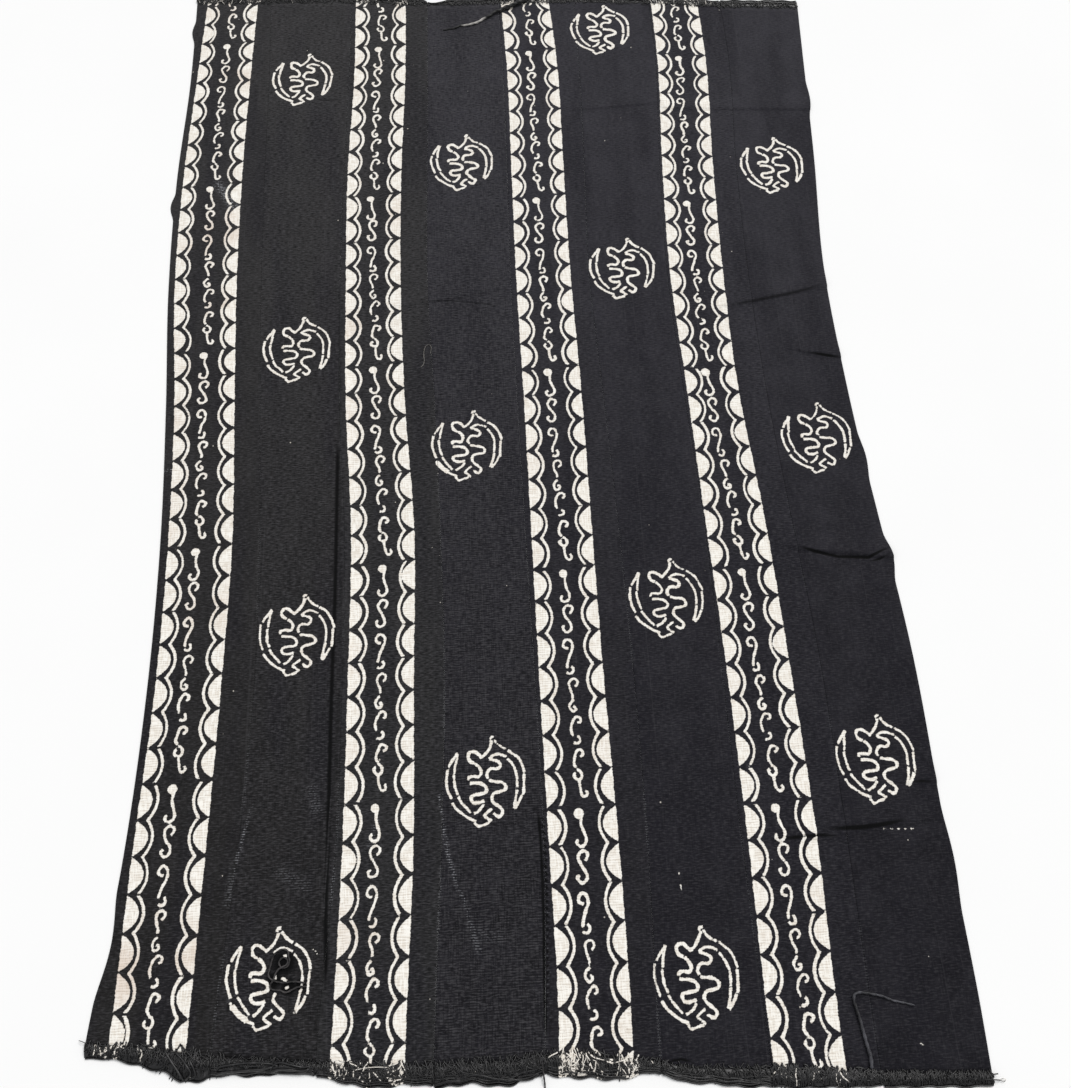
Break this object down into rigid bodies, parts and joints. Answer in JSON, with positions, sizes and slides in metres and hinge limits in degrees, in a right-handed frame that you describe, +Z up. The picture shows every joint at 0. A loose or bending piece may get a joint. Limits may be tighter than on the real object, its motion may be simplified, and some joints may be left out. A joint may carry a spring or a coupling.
{
  "type": "mud cloth",
  "caption": "Hand-woven black cotton cloth of narrow strips sewn edge to edge, with pale scalloped bands, round emblems and frayed ends, lying flat.",
  "frame": {"origin": "middle of the cloth with its frayed ends, on the surface it lies on", "axes": "+Y along the strips from the near end to the far end, +X across them, +Z up out of the patterned face"},
  "size_m": [1.1078, 1.8452, 0.0057],
  "materials": {
    "patterned_cotton": "matt black-dyed cotton with undyed cream bands",
    "emblem_cotton": "matt black-dyed ribbed cotton with undyed cream emblems",
    "frayed_yarn": "frayed black cotton yarn with some undyed ends",
    "loose_yarn": "loose black cotton yarn, slightly shiny",
    "grey_yarn": "loose grey cotton yarn"
  },
  "bodies": {
    "root": {"strip_1": "patterned_cotton", "strip_2": "emblem_cotton", "strip_3": "patterned_cotton", "strip_4": "emblem_cotton", "strip_5": "patterned_cotton", "strip_6": "emblem_cotton", "strip_7": "patterned_cotton", "strip_8": "emblem_cotton", "fringe_near_1": "frayed_yarn", "fringe_near_2": "frayed_yarn", "fringe_near_3": "frayed_yarn", "fringe_near_4": "frayed_yarn", "fringe_near_5": "frayed_yarn", "fringe_near_6": "frayed_yarn", "fringe_near_7": "frayed_yarn", "fringe_near_8": "frayed_yarn", "fringe_far_1": "frayed_yarn", "fringe_far_2": "frayed_yarn", "fringe_far_3": "frayed_yarn", "fringe_far_4": "frayed_yarn", "fringe_far_5": "frayed_yarn", "fringe_far_6": "frayed_yarn", "fringe_far_7": "frayed_yarn", "fringe_far_8": "frayed_yarn", "thread_far": "loose_yarn", "thread_near": "loose_yarn", "thread_hanging": "loose_yarn", "thread_loop": "loose_yarn", "thread_hook": "grey_yarn", "thread_coil": "loose_yarn"}
  },
  "joints": []
}
